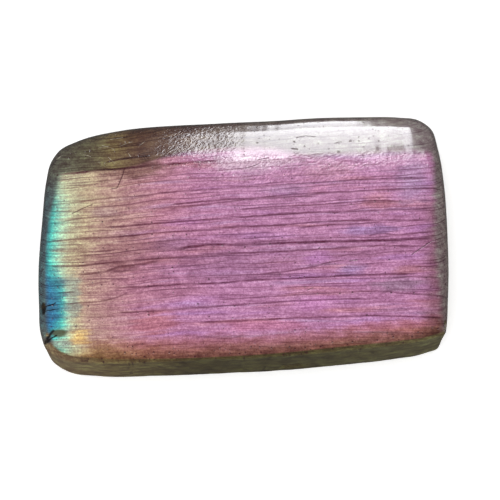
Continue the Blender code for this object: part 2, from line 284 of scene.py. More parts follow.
def slabPoints():  # the top as a grid, then one ring of points after another down the side
    values = gridValues(slab["cellsAlong"]), gridValues(slab["cellsAcross"])
    a, b = np.meshgrid(*values, indexing="ij")
    ringX, ringY = np.abs(a), np.abs(b)
    ring = np.maximum(ringX, ringY)
    plan, z, turn = np.zeros(a.shape + (2,)), np.zeros(a.shape), np.zeros(a.shape)
    flat = ring <= 1
    plan[flat] = flatPoints(a[flat], b[flat])
    z[flat] = slab["thickness"]
    groups = (
        ("far", ~flat & (ringY >= ringX) & (b > 0), a, ringX),
        ("near", ~flat & (ringY >= ringX) & (b < 0), a, ringX),
        ("right", ~flat & (ringY < ringX) & (a > 0), b, ringY),
        ("left", ~flat & (ringY < ringX) & (a < 0), b, ringY),
    )
    for name, mask, signed, across in groups:
        along = np.sign(signed[mask]) * alongSide(across[mask], ring[mask])
        station = 1 + slab["topTurn"] * (ring[mask] - 1)
        plan[mask], z[mask] = rolledPoints(rowsAt(name, along), station)
        turn[mask] = station - 1
    # The border of the grid, anticlockwise from the near left corner.
    nx, ny = slab["cellsAlong"], slab["cellsAcross"]
    border = [(i, 0) for i in range(nx)] + [(nx, j) for j in range(ny)]
    border += [(i, ny) for i in range(nx, 0, -1)] + [(0, j) for j in range(ny, 0, -1)]
    corner = 1 - slab["cornerShare"]
    rows = []
    for i, j in border:
        onSide = j in (0, ny)
        value, across = (a[i, j], ringX[i, j]) if onSide else (b[i, j], ringY[i, j])
        along = across * corner if across <= 1 else corner + slab["cornerShare"] * (across - 1)
        name = ("near" if j == 0 else "far") if onSide else ("right" if i == nx else "left")
        rows.append(rowsAt(name, np.array(math.copysign(along, value))))
    rows = np.array(rows)
    steps, stations = [0], [1 + slab["topTurn"]]
    for step, station in slab["sideStations"]:
        steps.append(step)
        stations.append(station)
    ringPlans, ringHeights, ringTurns = [], [], []
    for step in range(1, steps[-1] + 1):
        station = np.full(len(rows), np.interp(step, steps, stations))
        ringPlan, ringHeight = rolledPoints(rows, station)
        ringPlans.append(ringPlan)
        ringHeights.append(ringHeight)
        ringTurns.append(station - 1)
    xy = np.concatenate([plan.reshape(-1, 2)] + ringPlans)
    heights = np.concatenate([z.ravel()] + ringHeights)
    turns = np.concatenate([turn.ravel()] + ringTurns)
    return np.column_stack([xy, heights]), turns, border


def crownedAndWaved(points):
    x, y, z = points.T
    swell = 0.0
    for size, longX, longY, start in slab["waves"]:
        waveX = np.sin(2 * math.pi * x / longX + start)
        swell = swell + size * waveX * np.cos(2 * math.pi * (y + z) / longY + start)
    swell = swell * np.sin(math.pi * np.clip(z / slab["thickness"], 0, 1))
    scale = 1 + swell / np.maximum(np.hypot(x, y), slab["thickness"])
    crown = np.clip(1 - (x * scale / slab["halfLength"]) ** 2, 0, None)
    crown = slab["crown"] * crown * np.clip(1 - (y * scale / slab["halfWidth"]) ** 2, 0, None)
    return np.column_stack([x * scale, y * scale, z * (1 + crown / slab["thickness"])])


def slabFaces(border, ringCount):  # the top's grid, the rings of the side and one face for the base
    nx, ny = slab["cellsAlong"], slab["cellsAcross"]
    index = np.arange((nx + 1) * (ny + 1)).reshape(nx + 1, ny + 1)
    corners = [index[:-1, :-1], index[1:, :-1], index[1:, 1:], index[:-1, 1:]]
    top = np.stack(corners, axis=-1).reshape(-1, 4)
    above = np.array([index[i, j] for i, j in border])
    faces = [top]
    start = index.size
    for _ in range(ringCount):
        below = start + np.arange(len(border))
        faces.append(np.stack([above, below, np.roll(below, -1), np.roll(above, -1)], axis=-1))
        above, start = below, start + len(border)
    quads = np.concatenate(faces).tolist()
    return quads + [above[::-1].tolist()]


def buildSlab():
    points, turns, border = slabPoints()
    points = crownedAndWaved(points)
    middle = (points.max(axis=0) + points.min(axis=0)) / 2
    points -= (middle[0], middle[1], points[:, 2].min())
    mesh = bpy.data.meshes.new("polished_slab")
    mesh.from_pydata(points.tolist(), [], slabFaces(border, slab["sideStations"][-1][0]))
    mesh.shade_smooth()
    return mesh, points, turns


mesh, points, turns = buildSlab()
print("stage: slab meshed,", len(mesh.vertices), "points,", len(mesh.polygons), "faces")


# What the finish follows: the turn of the section, from 0 on the face to 3 at the base, and the
# distances in millimetres from the rim's left and near sides.
def storeFloat(name, values):
    layer = mesh.attributes.new(name, "FLOAT", "POINT")
    layer.data.foreach_set("value", np.asarray(values, dtype=np.float32))


def rimAt(name, places, axis):  # how far out a side's rim lies beside each place
    rows = sides[name][0]
    order = np.argsort(rows[:, axis])
    return np.interp(places, rows[order, axis], rows[order, 1 - axis])


storeFloat("turn", turns)
storeFloat("fromLeft", (points[:, 0] - rimAt("left", points[:, 1], 1)) / mm)
storeFloat("fromNear", (points[:, 1] - rimAt("near", points[:, 0], 0)) / mm)


class Nodes:  # adds the nodes of one material and joins them
    def __init__(self, tree):
        self.tree = tree

    def add(self, kind, **settings):
        node = self.tree.nodes.new(kind)
        for name, value in settings.items():
            setattr(node, name, value)
        return node

    def feed(self, socket, value):
        if isinstance(value, bpy.types.NodeSocket):
            self.tree.links.new(value, socket)
        elif value is not None:
            socket.default_value = value

    def calc(self, operation, first, second=None, third=None):
        node = self.add("ShaderNodeMath", operation=operation)
        for socket, value in zip(node.inputs, (first, second, third)):
            self.feed(socket, value)
        return node.outputs[0]

    def times(self, *values):
        product = values[0]
        for value in values[1:]:
            product = self.calc("MULTIPLY", product, value)
        return product

    def most(self, *values):
        top = values[0]
        for value in values[1:]:
            top = self.calc("MAXIMUM", top, value)
        return top

    def fade(self, value, start, end, atStart=0.0, atEnd=1.0, smooth=True):
        kind = "SMOOTHSTEP" if smooth else "LINEAR"
        node = self.add("ShaderNodeMapRange", interpolation_type=kind, clamp=False)
        if start > end:  # a smooth step wants its range the right way round
            start, end, atStart, atEnd = end, start, atEnd, atStart
        for socket, given in zip(node.inputs, (value, start, end, atStart, atEnd)):
            self.feed(socket, given)
        return node.outputs[0]

    def blend(self, share, first, second, mode="MIX"):
        node = self.add("ShaderNodeMix", data_type="RGBA", blend_type=mode)
        self.feed(node.inputs[0], share)
        self.feed(node.inputs[6], first)
        self.feed(node.inputs[7], second)
        return node.outputs[2]

    # Darkens or lightens a colour by a share of it, its green the most, as in the real stone.
    def shade(self, colour, value, start, end, atStart, atEnd):
        share = self.fade(value, start, end, atStart, atEnd)
        green = self.calc("POWER", share, stone["greenPower"])
        blue = self.calc("POWER", share, stone["bluePower"])
        node = self.add("ShaderNodeCombineColor")
        for socket, amount in zip(node.inputs, (share, green, blue)):
            self.feed(socket, amount)
        return self.blend(1.0, colour, node.outputs[0], "MULTIPLY")

    def ramp(self, value, stops):  # stops are (place, colour)
        first, last = stops[0][0], stops[-1][0]
        scaled = self.fade(value, first, last, smooth=False)
        node = self.add("ShaderNodeValToRGB")
        elements = node.color_ramp.elements
        while len(elements) < len(stops):
            elements.new(1.0)
        for element, (place, colour) in zip(elements, stops):
            element.position = (place - first) / (last - first)
            element.color = paint(*colour)
        self.tree.links.new(scaled, node.inputs[0])
        return node.outputs[0]

    def curve(self, value, stops):  # smooth, through (place, height) points from 0 to 1
        node = self.add("ShaderNodeFloatCurve")
        curve = node.mapping.curves[0]
        while len(curve.points) < len(stops):
            curve.points.new(0.5, 0.5)
        for point, stop in zip(curve.points, stops):
            point.location = stop
        node.mapping.extend = "HORIZONTAL"
        node.mapping.update()
        self.feed(node.inputs["Value"], value)
        return node.outputs[0], node.mapping

    def vector(self, x, y, z=0.0):
        node = self.add("ShaderNodeCombineXYZ")
        for socket, value in zip(node.inputs, (x, y, z)):
            self.feed(socket, value)
        return node.outputs[0]

    def split(self, vector):
        node = self.add("ShaderNodeSeparateXYZ")
        self.feed(node.inputs[0], vector)
        return node.outputs

    def noise(self, x, y, z=0.0, detail=2.0, rough=0.5):
        place = self.vector(x, y, z)
        node = self.add("ShaderNodeTexNoise")
        self.feed(node.inputs["Vector"], place)
        self.feed(node.inputs["Scale"], 1.0)
        self.feed(node.inputs["Detail"], detail)
        self.feed(node.inputs["Roughness"], rough)
        return node.outputs["Fac"]

    def chance(self, value):  # a random number for each whole number
        node = self.add("ShaderNodeTexWhiteNoise", noise_dimensions="1D")
        self.feed(node.inputs["W"], value)
        return node.outputs["Value"]

    def attribute(self, name):
        return self.add("ShaderNodeAttribute", attribute_name=name).outputs["Fac"]

    def centred(self, value):  # a noise moved to lie about 0
        return self.calc("SUBTRACT", value, 0.5)

    def near(self, value, middle, far, close):  # 1 close to a middle value, 0 far from it
        gap = self.calc("ABSOLUTE", self.calc("SUBTRACT", value, middle))
        return self.fade(gap, far, close)

    def specks(self, x, y, size, radius, share):  # round spots in some cells of a grid of that size
        place = self.vector(x, y)
        node = self.add("ShaderNodeTexVoronoi", feature="F1", voronoi_dimensions="2D")
        self.feed(node.inputs["Vector"], place)
        self.feed(node.inputs["Scale"], 1 / size)
        pick = self.add("ShaderNodeSeparateColor")
        self.tree.links.new(node.outputs["Color"], pick.inputs[0])
        chosen = self.calc("LESS_THAN", pick.outputs[0], share)
        reach = self.calc("MULTIPLY_ADD", pick.outputs[1], radius / size, radius / size * 0.5)
        spot = self.fade(self.calc("DIVIDE", node.outputs["Distance"], reach), 0.5, 1.0, 1.0, 0.0)
        return self.times(chosen, spot)

    # A random value for each grain of the rock, and the distance to the edge of a coarser grain.
    def crystals(self, x, y, z, size):
        place = self.vector(x, y, z)
        grain = self.add("ShaderNodeTexVoronoi", feature="F1")
        edge = self.add("ShaderNodeTexVoronoi", feature="DISTANCE_TO_EDGE")
        for node, scale in ((grain, 1 / size), (edge, 0.25 / size)):
            self.feed(node.inputs["Vector"], place)
            self.feed(node.inputs["Scale"], scale)
        pick = self.add("ShaderNodeSeparateColor")
        self.tree.links.new(grain.outputs["Color"], pick.inputs[0])
        return pick.outputs[0], edge.outputs["Distance"]

    def segment(self, x, y, start, end, halfWidth):  # a thin line from one point to another
        (startX, startY), (endX, endY) = start, end
        length = math.hypot(endX - startX, endY - startY)
        alongX, alongY = (endX - startX) / length, (endY - startY) / length
        along = self.calc("MULTIPLY_ADD", x, alongX, -startX * alongX - startY * alongY)
        along = self.calc("MULTIPLY_ADD", y, alongY, along)
        off = self.calc("MULTIPLY_ADD", x, -alongY, startX * alongY - startY * alongX)
        off = self.calc("ABSOLUTE", self.calc("MULTIPLY_ADD", y, alongX, off))
        past = self.calc("ABSOLUTE", self.calc("SUBTRACT", along, length / 2))
        past = self.calc("MAXIMUM", self.calc("SUBTRACT", past, length / 2), 0.0)
        return self.fade(self.calc("ADD", off, past), halfWidth * 0.3, halfWidth * 1.3, 1.0, 0.0)

    def patch(self, x, y, warp, middle, radius, softness=0.6):  # a soft oval with a warped edge
        acrossX = self.calc("MULTIPLY_ADD", x, 1 / radius[0], -middle[0] / radius[0])
        acrossY = self.calc("MULTIPLY_ADD", y, 1 / radius[1], -middle[1] / radius[1])
        square = self.calc("MULTIPLY_ADD", acrossX, acrossX, self.times(acrossY, acrossY))
        reach = self.calc("ADD", self.calc("SQRT", square), warp)
        return self.fade(reach, 1.0 - softness, 1.0, 1.0, 0.0)


# The stone's finish. Places and widths are in millimetres from the slab's middle.
stone = {
    "flash": (  # colour of the flash by how far it lies in from the left end
        (-2.0, (48, 84, 128)),
        (-0.8, (46, 102, 150)),
        (0.3, (50, 126, 166)),
        (1.2, (62, 160, 170)),
        (2.0, (88, 194, 184)),
        (2.8, (136, 208, 186)),
        (3.6, (178, 212, 182)),
        (5.0, (196, 196, 160)),
        (7.2, (194, 174, 142)),
        (9.9, (188, 154, 138)),
        (14.0, (184, 138, 138)),
        (19.0, (190, 130, 150)),
        (25.0, (186, 124, 160)),
        (33.0, (186, 126, 166)),
    ),
    "flashShift": (  # how much further in the flash's colours start at each y
        (-22.0, -0.8),
        (-18.5, -0.3),
        (-16.8, 0.4),
        (-15.2, 1.5),
        (-12.7, 2.5),
        (-9.5, 2.0),
        (-7.8, 1.2),
        (-4.9, 0.1),
        (-1.3, 0.0),
        (2.8, 0.0),
        (5.2, -0.5),
        (7.3, -1.4),
        (12.0, -2.2),
        (18.0, -2.4),
    ),
    "shiftRange": (-3.0, 3.0),
    "flashStart": (0.8, 2.1),  # how far in from the left rim the flash comes up
    "flashEnd": (31.2, 29.6),  # where it dies away at the right end
    "huesAndPaintedHighlight": (  # broad patches of other hues, and one painted highlight: middle, half-length and half-height, colour, strength
        ((14.0, 10.2), (6.0, 2.2), (196, 140, 164), 0.55),
        ((21.5, 5.2), (3.5, 2.6), (186, 120, 136), 0.60),
        ((27.0, 8.5), (4.0, 5.5), (170, 138, 176), 0.60),
        ((19.5, 0.4), (6.5, 1.1), (170, 134, 186), 0.75),
        ((11.5, 7.2), (2.6, 0.9), (206, 140, 178), 0.60),
        ((11.5, -4.2), (3.2, 1.6), (194, 130, 192), 0.85),
        ((17.0, -5.9), (3.4, 1.3), (156, 128, 178), 0.60),
        ((24.5, -8.4), (5.5, 1.4), (148, 118, 142), 0.70),
        ((26.0, -6.0), (4.0, 0.8), (172, 112, 124), 0.60),
        ((11.0, -11.4), (5.2, 1.4), (202, 134, 188), 0.70),
        ((3.0, -15.0), (9.0, 1.3), (206, 130, 162), 0.60),
        ((22.0, -15.2), (9.0, 1.4), (200, 132, 166), 0.70),
        # painted highlight: a whitish haze under the window's reflection on the far edge
        ((0.5, 11.8), (9.0, 3.2), (210, 180, 198), 0.75),
        ((6.0, 6.9), (5.0, 1.0), (168, 126, 164), 0.60),
        ((-4.0, -6.0), (11.0, 3.2), (158, 108, 146), 0.45),
        ((-9.5, 1.6), (4.5, 0.9), (190, 126, 176), 0.60),
        ((-11.5, -1.6), (3.6, 1.6), (164, 118, 156), 0.55),
        ((-22.5, 3.2), (3.0, 1.2), (172, 142, 142), 0.50),
        ((-14.0, -14.6), (4.5, 2.6), (196, 122, 134), 0.65),
        ((-26.0, -17.0), (2.6, 1.5), (228, 188, 118), 0.90),
        ((-19.5, -3.4), (10.0, 4.0), (148, 98, 104), 0.60),
        ((-26.8, -3.4), (4.0, 3.4), (168, 142, 118), 0.60),
        ((-19.0, -5.6), (3.4, 1.0), (132, 80, 82), 0.60),
        ((-17.0, 10.4), (7.5, 2.3), (124, 86, 76), 0.80),
        ((-27.2, -10.6), (1.8, 5.8), (154, 168, 156), 0.70),
        ((-30.0, -10.4), (2.3, 6.4), (62, 122, 150), 0.60),
        ((4.0, -3.5), (28.0, 4.8), (164, 112, 144), 0.35),
        ((-13.0, -9.5), (9.0, 3.6), (168, 110, 132), 0.45),
        ((-29.0, -17.9), (2.4, 1.4), (156, 170, 154), 0.85),
    ),
    "dying": (120, 76, 88),  # its last colour at the right end
    "violet": (182, 128, 190),
    "salmon": (196, 126, 128),
    "lilac": (150, 118, 156),
    "nearShade": (  # how much of each colour the browning along the near arris leaves
        (0.0, (134, 124, 84)),
        (0.9, (170, 160, 108)),
        (1.8, (208, 196, 150)),
        (2.8, (238, 226, 200)),
        (4.2, (255, 255, 255)),
    ),
    "farFlash": (  # x, and the y where the flash ends on the far side
        (-33.0, 9.3),
        (-25.0, 10.0),
        (-21.0, 10.2),
        (-16.5, 11.2),
        (-13.5, 12.1),
        (-10.8, 12.9),
        (-6.0, 13.9),
        (4.0, 14.3),
        (9.5, 13.3),
        (15.0, 13.3),
        (26.5, 13.8),
        (33.0, 13.5),
    ),
    "body": (  # dull stone where no flash shows, from the left end to the right end
        (-33.0, (66, 92, 100)),
        (-30.0, (92, 102, 100)),
        (-26.0, (108, 108, 84)),
        (-21.5, (120, 102, 68)),
        (-17.0, (98, 69, 52)),
        (-9.0, (102, 78, 68)),
        (6.0, (120, 108, 102)),
        (24.0, (140, 128, 124)),
        (29.0, (132, 120, 120)),
        (33.0, (112, 96, 95)),
    ),
    "side": (  # the near side, which is darker and greener
        (-33.0, (142, 124, 90)),
        (-22.0, (118, 101, 62)),
        (-8.0, (86, 76, 42)),
        (10.0, (87, 79, 46)),
        (33.0, (102, 94, 60)),
    ),
    "olive": (96, 86, 66),  # the far left corner
    "line": (120, 36, 86),
    "speck": (58, 22, 34),
    "pale": (196, 190, 170),
    "paintedHollowShade": (22, 16, 14),
    # painted shade inside the broken hollows
    "stain": (82, 76, 48),
    "stainPlace": (-29.2, -16.3),
    "stainSize": (1.7, 1.0),
    "greenPower": 1.4,  # how much more than red the green and the blue change with each shade
    "bluePower": 1.15,
    "dustShade": (0.87, 1.14),  # the darkest and lightest shares that each texture gives
    "grainShade": (0.83, 1.18),
    "mottleShade": (0.86, 1.12),
    "threadShade": ((0.78, 1.18), (0.90, 1.08)),  # on the face, and on the walls
    "streakShade": ((0.84, 1.10), (0.92, 1.05)),
    # painted glints and dark spots of the crinkled polish
    "paintedGlintShade": (0.80, 1.14),
    "bodyShade": (0.82, 1.15),
    "paintedRimShade": (0.42, 0.95),  # painted shade on the rolled rim, at the far left, and from the middle on
    # painted shade on the top of the near roll
    "paintedNearRollDarkness": 0.72,
    "crystalSize": 1.3,
    "crystalShade": 1.25,
    "cloudShade": 0.80,
    "crackShade": 0.55,
    "paintedGlintX": (8.0, 20.0, 9.0),  # middle, and how far from it the painted glints of the crinkles end and are full
    "paintedGlintY": (10.5, 3.6, 1.5),
    "scuffedX": (-8.0, 9.0, 3.5),
    "scuffedY": (8.5, 12.0),
    "ledgeX": (-2.0, 4.0),
    "ledgeY": (11.8, 2.2, 0.6),
    "specks": ((1.9, 0.15, 0.30), (0.8, 0.10, 0.20)),  # spacing, radius, share of the places taken
    "nearSpecks": (0.8, 0.14, 0.50),
    "strongShare": 0.97,  # strength of the lines, specks and marks over the colour under them
    "thinShare": 0.76,
    "speckShare": 0.75,
    "markShare": 0.72,
    "paleShare": 0.6,
    "stainShare": 0.90,
    "paintedHollowShadeShare": 0.92,
    "hollows": (  # broken hollows at the left edge, painted dark inside as shade: ends and half-width
        ((-31.9, -11.5), (-31.7, -12.8), 0.50),
        ((-31.6, -12.1), (-29.8, -11.4), 0.13),
        ((-31.2, -12.6), (-29.2, -12.4), 0.09),
        ((-31.1, -17.0), (-30.0, -15.9), 0.26),
        ((-30.8, -17.3), (-29.5, -16.6), 0.12),
        ((-31.4, -17.5), (-30.9, -17.3), 0.42),
    ),
    "lamella": 0.62,  # spacing of the thin layers
    "layerDip": 0.55,
    "polish": 0.22,  # roughness under the polish
    "shine": 0.07,  # roughness of the polish
    "matt": 0.46,  # roughness of the sides
    "refraction": 1.56,
    "underShine": 0.30,  # how much the surface under the polish reflects
    "scuff": 0.052,  # depth of the crinkles in the scuffed polish
    "faceGrain": 0.0025,  # depth of the grain on the face and on the walls
    "wallGrain": 0.030,
    "speckDepth": 0.030,
    "wallCoat": 0.15,  # how much polish is left on the walls and on damage
    "damageCoat": 0.1,
}
# The ranges that the curves across the face are drawn in.
faceX, faceY = (-33.0, 33.0), (-22.0, 22.0)
faceWidth, faceHeight = faceX[1] - faceX[0], faceY[1] - faceY[0]


def scaledStops(stops, across, up):  # points of a curve, brought to 0 to 1 both ways
    width, height = across[1] - across[0], up[1] - up[0]
    return [((x - across[0]) / width, (y - up[0]) / height) for x, y in stops]


def stoneMaterial():
    material = bpy.data.materials.new("labradorite_polished")
    material.use_nodes = True
    nodes = Nodes(material.node_tree)
    calc, fade, times, most = nodes.calc, nodes.fade, nodes.times, nodes.most
    noise, blend, shade, centred, near = nodes.noise, nodes.blend, nodes.shade, nodes.centred, nodes.near
    nodes.tree.nodes.clear()
    output = nodes.add("ShaderNodeOutputMaterial")
    shader = nodes.add("ShaderNodeBsdfPrincipled")
    nodes.feed(output.inputs[0], shader.outputs[0])
    place = nodes.add("ShaderNodeTexCoord")
    scaled = nodes.add("ShaderNodeVectorMath", operation="SCALE")
    nodes.feed(scaled.inputs[0], place.outputs["Object"])
    scaled.inputs["Scale"].default_value = 1 / mm
    x, y, z = nodes.split(scaled.outputs[0])
    facingY = nodes.split(place.outputs["Normal"])[1]
    turn, fromLeft, fromNear = (nodes.attribute(name) for name in ("turn", "fromLeft", "fromNear"))

    # How far up through the layers a point lies: they rise to the right and dip into the stone.
    depth = calc("SUBTRACT", z, slab["thickness"] / mm)
    rise = times(calc("MULTIPLY_ADD", y, 0.0015, 0.045), x)
    rise = calc("MULTIPLY_ADD", calc("TANH", calc("MULTIPLY_ADD", x, 0.25, 4.25)), 0.4, rise)
    layers = calc("MULTIPLY_ADD", depth, stone["layerDip"], calc("SUBTRACT", y, rise))
    bend = noise(times(x, 0.07), times(y, 0.2))
    layers = calc("MULTIPLY_ADD", centred(bend), 1.2, layers)
    grain = noise(times(x, 2.4), times(y, 2.8), times(z, 2.6), 3.0, 0.6)
    threads = noise(times(x, 0.22), times(layers, 3.2), 0.0, 3.0, 0.6)
    bands = noise(times(x, 0.045), times(layers, 0.50))
    streaks = noise(times(x, 0.06), times(layers, 1.1), 3.0, 3.0, 0.55)
    feather = noise(times(x, 0.10), times(layers, 1.6), 9.0, 3.0, 0.6)
    mottle = noise(times(x, 0.5), times(y, 0.9), times(z, 0.7), 3.0, 0.6)

    # The flash: its colour by the distance from the left end, feathered along the layers.
    acrossFace = fade(x, *faceX, smooth=False)
    upFace = fade(y, *faceY, smooth=False)
    shift, _ = nodes.curve(upFace, scaledStops(stone["flashShift"], faceY, stone["shiftRange"]))
    shift = fade(shift, 0.0, 1.0, *stone["shiftRange"], smooth=False)
    shift = times(shift, fade(fromLeft, 8.0, 2.5))
    sooner = times(fade(y, -1.0, -7.0), fade(fromLeft, 4.0, 9.0), 3.2)
    phase = calc("ADD", calc("SUBTRACT", fromLeft, shift), sooner)
    loose = fade(fromLeft, 0.5, 14.0, 1.6, 9.0)
    phase = calc("MULTIPLY_ADD", centred(feather), loose, phase)
    flash = nodes.ramp(phase, stone["flash"])
    reach = fade(fromLeft, 8.0, 22.0)
    flash = blend(times(reach, fade(bands, 0.55, 0.72, 0.0, 0.55)), flash, paint(*stone["violet"]))
    flash = blend(times(reach, fade(bands, 0.44, 0.28, 0.0, 0.55)), flash, paint(*stone["salmon"]))
    flash = blend(times(reach, fade(streaks, 0.54, 0.72, 0.0, 0.50)), flash, paint(*stone["lilac"]))
    level = calc("MULTIPLY_ADD", x, -0.06, y)
    ragged = calc("MULTIPLY_ADD", centred(streaks), 1.6, times(centred(mottle), 0.9))
    for middle, radius, colour, strength in stone["huesAndPaintedHighlight"]:
        oval = nodes.patch(x, level, ragged, (middle[0], middle[1] - 0.06 * middle[0]), radius, 0.7)
        flash = blend(times(oval, strength), flash, paint(*colour))
    dying = fade(calc("MULTIPLY_ADD", centred(streaks), 4.0, x), 27.4, 30.6)
    dying = times(dying, fade(y, 8.0, 2.0), 0.80)
    flash = blend(dying, flash, paint(*stone["dying"]))
    fromArris = calc("ADD", fromNear, fade(x, -22.0, -28.0, 0.0, 2.6))
    uneven = calc("MULTIPLY_ADD", centred(mottle), 2.4, fromArris)
    flash = blend(1.0, flash, nodes.ramp(uneven, stone["nearShade"]), "MULTIPLY")

    # Where the flash gives way to dull stone.
    farLine, _ = nodes.curve(acrossFace, scaledStops(stone["farFlash"], faceX, faceY))
    beyond = calc("SUBTRACT", upFace, farLine)
    beyond = calc("MULTIPLY_ADD", beyond, faceHeight, times(centred(mottle), 0.6))
    within = calc("DIVIDE", calc("SUBTRACT", 0.35, beyond), fade(x, -17.0, -5.0, 0.55, 1.90))
    litFar = fade(within, 0.0, 1.0)
    litOnTop = fade(turn, 0.42, 0.26)
    fromStart = calc("SUBTRACT", fromLeft, fade(y, 0.0, 8.0, 0.0, 1.0))
    litLeft = fade(fromStart, *stone["flashStart"])
    toEnd = calc("MULTIPLY_ADD", centred(streaks), 1.2, x)
    toEnd = calc("ADD", toEnd, fade(y, 0.0, -16.0, 0.0, -0.9))
    lit = times(litFar, litOnTop, litLeft, fade(toEnd, *stone["flashEnd"]))
    body = nodes.ramp(x, stone["body"])
    farLeft = times(fade(y, 5.0, 11.0), fade(x, -20.0, -28.0), 0.65)
    body = blend(farLeft, body, paint(*stone["olive"]))
    walls = most(fade(facingY, -0.08, -0.50), fade(turn, 1.0, 1.8, 0.0, 0.85))
    body = blend(walls, body, nodes.ramp(x, stone["side"]))
    # Painted shade: the dull stone darkens as the section turns over at the rim, most at the far left
    # and not on the near side.
    paintedRimShade = most(fade(x, -12.0, 10.0, *stone["paintedRimShade"]), fade(y, 4.0, -4.0))
    body = shade(body, turn, 0.25, 1.0, 1.0, paintedRimShade)
    # Painted shade: the upward-facing top of the near roll is darkened to the tone of the near wall,
    # which gets less light.
    paintedNearRollShade = times(fade(turn, 1.0, 0.2), fade(fromNear, 3.0, 1.5))
    body = shade(body, paintedNearRollShade, 0.0, 1.0, 1.0, stone["paintedNearRollDarkness"])
    body = shade(body, mottle, 0.3, 0.7, *stone["bodyShade"])
    colour = blend(lit, body, flash)

    # The strong lines, then the thin layers between them.
    wobble = times(centred(noise(times(x, 0.55), times(y, 1.1), 0.0, 3.0, 0.6)), 0.30)
    wavyUp = fade(calc("ADD", y, wobble), *faceY, smooth=False)
    strong, curves = 0.0, []
    for route, halfWidth, darkness in layerLines:
        line, mapping = nodes.curve(acrossFace, scaledStops(route, faceX, faceY))
        curves.append(mapping)
        gap = calc("ABSOLUTE", calc("SUBTRACT", wavyUp, line))
        line = fade(gap, halfWidth * 0.4 / faceHeight, halfWidth * 1.7 / faceHeight, darkness, 0.0)
        first, last = route[0][0], route[-1][0]
        ends = times(fade(x, first - 0.8, first + 0.8), fade(x, last + 0.8, last - 0.8))
        strong = most(strong, times(line, ends))
    gaps = noise(times(x, 0.30), times(layers, 1.3), 5.0)
    onTop = fade(turn, 0.9, 0.35)
    strong = times(strong, onTop, fade(gaps, 0.30, 0.58, 0.55, 1.0))
    count = calc("DIVIDE", layers, stone["lamella"])
    pick = nodes.chance(calc("FLOOR", count))
    off = calc("SUBTRACT", calc("FRACT", count), calc("MULTIPLY_ADD", pick, 0.6, 0.2))
    thin = fade(calc("ABSOLUTE", off), 0.03, 0.20, 1.0, 0.0)
    here = noise(times(x, 0.11), times(layers, 1.0 / stone["lamella"]), 7.0, 3.0, 0.6)
    calm = fade(y, -13.0, -8.5, 0.55, 1.0)
    thinHere = fade(here, 0.40, 0.62, 0.0, stone["thinShare"])
    thin = times(thin, thinHere, calm, fade(turn, 0.3, 0.9, 1.0, 0.35))
    lines = times(most(strong, thin), fade(grain, 0.30, 0.60, 0.70, 1.0))
    darkened = blend(1.0, colour, paint(*stone["line"]), "MULTIPLY")
    colour = blend(times(lines, stone["strongShare"]), colour, darkened)

    # Dust, grain, mottling, threads and streaks, each a shade darker or lighter, then painted glints:
    # the crinkled polish made lighter and darker in spots, as its reflections show.
    dusty = noise(times(x, 4.4), times(y, 5.2), times(z, 5.0), 1.0, 0.5)
    colour = shade(colour, dusty, 0.30, 0.70, *stone["dustShade"])
    colour = shade(colour, grain, 0.30, 0.70, *stone["grainShade"])
    colour = shade(colour, mottle, 0.30, 0.70, *stone["mottleShade"])
    for texture, spread, shades in (
        (threads, (0.28, 0.72), stone["threadShade"]),
        (streaks, (0.25, 0.75), stone["streakShade"]),
    ):
        darkest, lightest = (fade(turn, 0.3, 0.9, *shares) for shares in zip(*shades))
        colour = shade(colour, texture, *spread, darkest, lightest)
    slanted = calc("MULTIPLY_ADD", x, -0.55, calc("ADD", y, mottle))
    crinkleAndGlints = noise(times(x, 1.7), times(slanted, 2.7), 0.0, 2.0, 0.5)
    # Painted highlight and painted shade: tiny glints and dark dots where the crinkled polish catches
    # the window; the same noise is also the crinkles' real relief.
    paintedGlintPlace = times(near(y, *stone["paintedGlintY"]), near(x, *stone["paintedGlintX"]))
    darkest, lightest = (fade(paintedGlintPlace, 0.0, 1.0, 1.0, share) for share in stone["paintedGlintShade"])
    colour = shade(colour, crinkleAndGlints, 0.35, 0.65, darkest, lightest)

    # The walls show the crystals of the rock, with clouds and cracks between them.
    sawn = fade(turn, 0.6, 1.2)
    cells, edges = nodes.crystals(x, y, z, stone["crystalSize"])
    colour = shade(colour, times(sawn, cells), 0.0, 1.0, 1.0, stone["crystalShade"])
    clouds = noise(times(x, 0.18), times(y, 0.18), times(z, 0.25), 3.0, 0.55)
    colour = shade(colour, times(sawn, fade(clouds, 0.62, 0.38)), 0.0, 1.0, 1.0, stone["cloudShade"])
    cracks = times(sawn, fade(edges, 0.05, 0.01), fade(clouds, 0.50, 0.62))
    colour = shade(colour, cracks, 0.0, 1.0, 1.0, stone["crackShade"])

    # Specks, marks, scratches, the stain, and painted shade inside the broken hollows.
    here = fade(noise(times(x, 0.25), times(y, 0.35)), 0.36, 0.56)
    specks = times(most(*(nodes.specks(x, y, *sizes) for sizes in stone["specks"])), here)
    crowded = times(nodes.specks(x, y, *stone["nearSpecks"]), fade(uneven, 2.9, 1.0))
    specks = times(most(specks, crowded), fade(turn, 1.4, 0.8))
    colour = blend(times(specks, stone["speckShare"]), colour, paint(*stone["speck"]))
    scratches = 0.0
    for start, end, halfWidth in marks:
        scratches = most(scratches, nodes.segment(x, calc("ADD", y, wobble), start, end, halfWidth))
    scratches = times(scratches, fade(turn, 0.9, 0.6))
    colour = blend(times(scratches, stone["markShare"]), colour, paint(*stone["speck"]))
    pale = 0.0
    for start, end, halfWidth in paleMarks:
        pale = most(pale, nodes.segment(x, calc("ADD", y, wobble), start, end, halfWidth))
    pale = times(pale, fade(grain, 0.35, 0.60), stone["paleShare"])
    colour = blend(pale, colour, paint(*stone["pale"]))
    stain = nodes.patch(x, y, times(ragged, 0.5), stone["stainPlace"], stone["stainSize"], 0.6)
    colour = blend(times(stain, stone["stainShare"]), colour, paint(*stone["stain"]))
